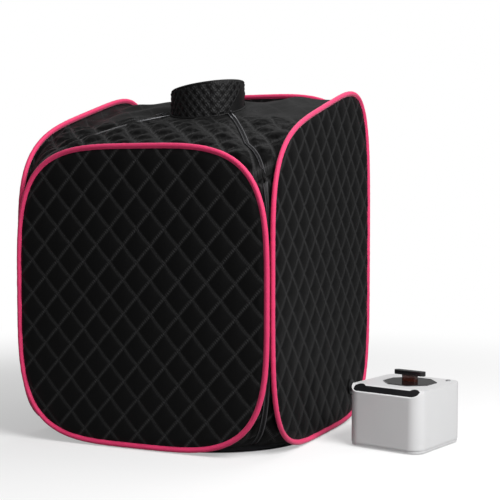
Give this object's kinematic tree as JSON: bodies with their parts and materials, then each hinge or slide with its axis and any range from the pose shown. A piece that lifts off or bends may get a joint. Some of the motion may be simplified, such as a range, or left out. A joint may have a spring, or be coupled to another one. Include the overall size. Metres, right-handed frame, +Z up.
{
  "type": "portable steam sauna",
  "caption": "Pop-up quilted sauna tent with a neck collar and a zip-down front, beside a small free-standing steam generator.",
  "frame": {"origin": "centre of the tent's floor, on the surface that it stands on", "axes": "+X to the right seen from the front, +Y to the rear, +Z up; the zip-down front faces -Y"},
  "size_m": [1.1943, 0.831, 1.0522],
  "materials": {
    "quilt": "diamond-quilted polyester",
    "skin": "plain woven polyester",
    "piping": "woven binding",
    "spring_steel": "drawn wire",
    "liner": "coated waterproof lining",
    "zip": "woven zip tape",
    "zip_metal": "plated zinc",
    "black_plastic": "satin",
    "shell": "satin moulded",
    "rubber": "matte",
    "steel": "brushed",
    "gloss_black": "polished",
    "board": "circuit board",
    "silicone": "soft matte",
    "button": "satin",
    "smoke": "smoked clear plastic",
    "stem": "tinted translucent"
  },
  "bodies": {
    "tent": {"floor_mat": "liner", "right_panel": "quilt", "left_panel": "quilt", "rear_panel": "quilt", "right_piping": "piping", "left_piping": "piping", "rear_piping": "piping", "right_hoop": "spring_steel", "left_hoop": "spring_steel", "rear_hoop": "spring_steel", "right_liner": "liner", "left_liner": "liner", "rear_liner": "liner", "right_front_gusset": "skin", "left_front_gusset": "skin", "right_rear_gusset": "skin", "left_rear_gusset": "skin", "roof_panel": "skin", "collar_rear": "quilt", "right_zip_tape": "zip", "left_zip_tape": "zip", "steam_inlet": "black_plastic", "inlet_nut": "black_plastic"},
    "front_door": {"front_panel": "quilt", "front_piping": "piping", "front_hoop": "spring_steel", "front_liner": "liner", "right_door_gusset": "skin", "left_door_gusset": "skin", "right_door_tape": "zip", "left_door_tape": "zip"},
    "roof_front": {"roof_flap": "skin", "collar_front": "quilt", "collar_tab": "quilt", "right_flap_tape": "zip", "left_flap_tape": "zip"},
    "right_slider": {"right_zip_slider": "zip_metal"},
    "left_slider": {"left_zip_slider": "zip_metal"},
    "right_pull": {"right_zip_pull": "zip_metal"},
    "left_pull": {"left_zip_pull": "zip_metal"},
    "generator": {"generator_housing": "shell", "generator_base": "shell", "generator_feet": "rubber", "base_screws": "steel", "control_panel": "gloss_black", "control_board": "board", "water_pot": "steel", "heating_element": "steel", "thermal_cutoff": "black_plastic", "pot_gasket": "silicone", "outlet_pipe": "silicone", "steam_outlet": "black_plastic", "power_inlet": "black_plastic"},
    "button": {"power_button": "button"},
    "lid": {"lid_frame": "gloss_black", "lid_window": "smoke", "lid_seal": "silicone"},
    "lid_handle": {"lid_lock": "steel", "handle_stem": "stem", "handle_bar": "gloss_black"}
  },
  "joints": [
    {"name": "door_fold", "type": "hinge", "parent": "tent", "child": "front_door", "pos_m": [0, -0.407, 0.009], "axis": [1, 0, 0], "range_deg": [0, 90]},
    {"name": "roof_front_lift", "type": "hinge", "parent": "front_door", "child": "roof_front", "pos_m": [0, -0.398, 0.85], "axis": [1, 0, 0], "range_deg": [0, 60]},
    {"name": "right_zip_run", "type": "slide", "parent": "tent", "child": "right_slider", "axis": [0.5339, -0.8196, -0.2077], "range_m": [0, 0.075]},
    {"name": "left_zip_run", "type": "slide", "parent": "tent", "child": "left_slider", "axis": [-0.5339, -0.8196, -0.2077], "range_m": [0, 0.075]},
    {"name": "right_pull_flip", "type": "hinge", "parent": "right_slider", "child": "right_pull", "pos_m": [0.114, -0.04082, 0.95543], "axis": [-0.8379, -0.5458, 0], "range_deg": [0, 150]},
    {"name": "left_pull_flip", "type": "hinge", "parent": "left_slider", "child": "left_pull", "pos_m": [-0.114, -0.04082, 0.95543], "axis": [-0.8379, 0.5458, 0], "range_deg": [0, 150]},
    {"name": "generator_place", "type": "slide", "parent": "tent", "child": "generator", "axis": [1, 0, 0], "range_m": [0, 0.3]},
    {"name": "button_press", "type": "slide", "parent": "generator", "child": "button", "axis": [0, 0, -1], "range_m": [0, 0.002], "stiffness_N_per_m": 400, "springref_m": -0.001},
    {"name": "lid_lift", "type": "slide", "parent": "generator", "child": "lid", "axis": [0, 0, 1], "range_m": [0, 0.12]},
    {"name": "handle_turn", "type": "hinge", "parent": "lid", "child": "lid_handle", "pos_m": [0.66086, -0.00156, 0.18], "axis": [0, 0, 1], "range_deg": [0, 90]}
  ]
}
